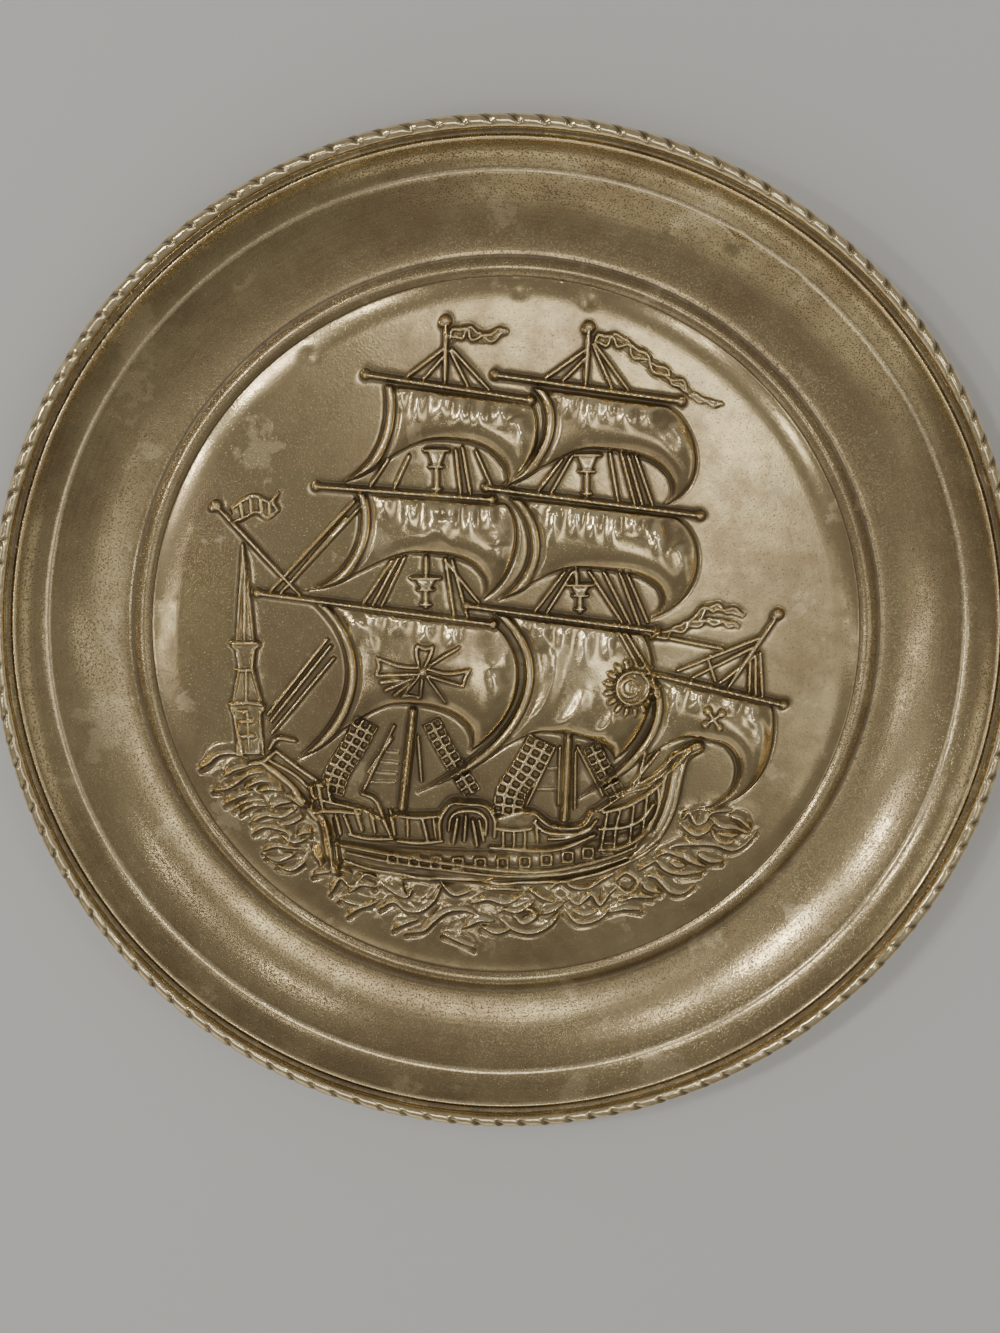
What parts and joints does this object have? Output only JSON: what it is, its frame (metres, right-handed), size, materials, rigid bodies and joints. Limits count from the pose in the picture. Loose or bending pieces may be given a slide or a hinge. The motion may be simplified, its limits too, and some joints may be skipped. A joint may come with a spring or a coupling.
{
  "type": "decorative plate",
  "caption": "Round wall or table charger of pressed brass: rope-twist edge, wide concave border and a galleon under full sail in relief on its flat ground.",
  "frame": {"origin": "on the plane that the underside rests on, at the plate's axis", "axes": "+Z out of the decorated face, +Y to the top of the picture, +X to its right"},
  "size_m": [0.4498, 0.4498, 0.0314],
  "materials": {
    "brass": "aged and polished pressed brass, darker in the recesses"
  },
  "bodies": {
    "root": {"plate": "brass"}
  },
  "joints": []
}
